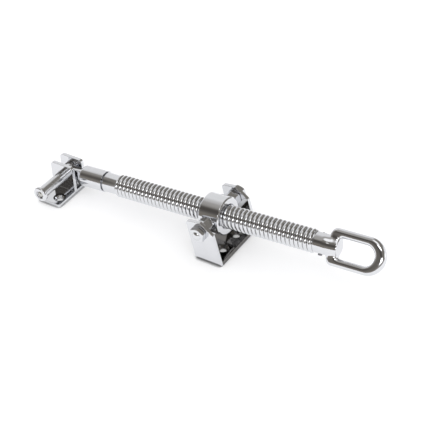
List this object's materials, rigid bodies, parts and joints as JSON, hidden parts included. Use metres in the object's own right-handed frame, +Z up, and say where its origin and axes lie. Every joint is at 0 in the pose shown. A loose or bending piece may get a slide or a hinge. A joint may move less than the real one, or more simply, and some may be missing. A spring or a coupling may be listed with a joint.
{
  "type": "fanlight screw opener",
  "caption": "Long chromed screw with a pull ring, turning in a nut that tilts between the ears of a frame bracket; a swivel and a sprung pin join its end to a sash bracket.",
  "frame": {"origin": "centre of the frame bracket's mounting face", "axes": "+X along the screw towards the pull ring, +Y across the screw away from the release pin's knob, +Z up from the mounting faces of both brackets"},
  "size_m": [0.2593, 0.0614, 0.0425],
  "materials": {
    "bracket_chrome": "polished",
    "nut_chrome": "polished",
    "hardware_chrome": "polished",
    "screw_chrome": "polished",
    "ring_chrome": "polished",
    "pin_steel": "ground",
    "spring_steel": "drawn",
    "washer_brass": "turned"
  },
  "bodies": {
    "frame": {"frame_bracket": "bracket_chrome"},
    "nut": {"travel_nut": "nut_chrome", "trunnion_stud_front": "hardware_chrome", "trunnion_stud_back": "hardware_chrome", "lock_nut_front": "hardware_chrome", "lock_nut_back": "hardware_chrome"},
    "swivel": {"swivel_sleeve": "screw_chrome", "swivel_tongue": "bracket_chrome", "sleeve_grub_screw": "spring_steel", "eye_bush": "washer_brass"},
    "screw": {"screw_spindle": "screw_chrome", "pull_ring": "ring_chrome", "ring_cross_pin": "hardware_chrome", "thrust_washer_outer": "pin_steel", "thrust_washer_inner": "washer_brass", "retaining_clip": "spring_steel"},
    "sash": {"sash_bracket": "bracket_chrome", "pin_barrel": "hardware_chrome", "barrel_bush": "washer_brass"},
    "pin": {"release_pin": "pin_steel", "pin_collar": "pin_steel", "pull_knob": "hardware_chrome", "knob_rivet": "pin_steel", "release_spring": "spring_steel"}
  },
  "joints": [
    {"name": "nut_tilt", "type": "hinge", "parent": "frame", "child": "nut", "pos_m": [-0.006, 0, 0.023], "axis": [0, 1, 0], "range_deg": [-45, 15]},
    {"name": "screw_travel", "type": "slide", "parent": "nut", "child": "swivel", "axis": [0.9971, 0, 0.0761], "range_m": [-0.065, 0.072]},
    {"name": "screw_turn", "type": "hinge", "parent": "swivel", "child": "screw", "pos_m": [-0.006, 0, 0.023], "axis": [0.9971, 0, 0.0761], "range_deg": [-7373, 8167]},
    {"name": "sash_tilt", "type": "hinge", "parent": "swivel", "child": "sash", "pos_m": [-0.13303, 0, 0.0133], "axis": [0, 1, 0], "range_deg": [-25, 95]},
    {"name": "release_pull", "type": "slide", "parent": "sash", "child": "pin", "axis": [0, -1, 0], "range_m": [0, 0.012], "stiffness_N_per_m": 400, "springref_m": -0.005, "deforming": ["release_spring"]}
  ],
  "couplings": [
    {"joint": "screw_turn", "follows": "screw_travel", "rad_per_m": 1979}
  ]
}
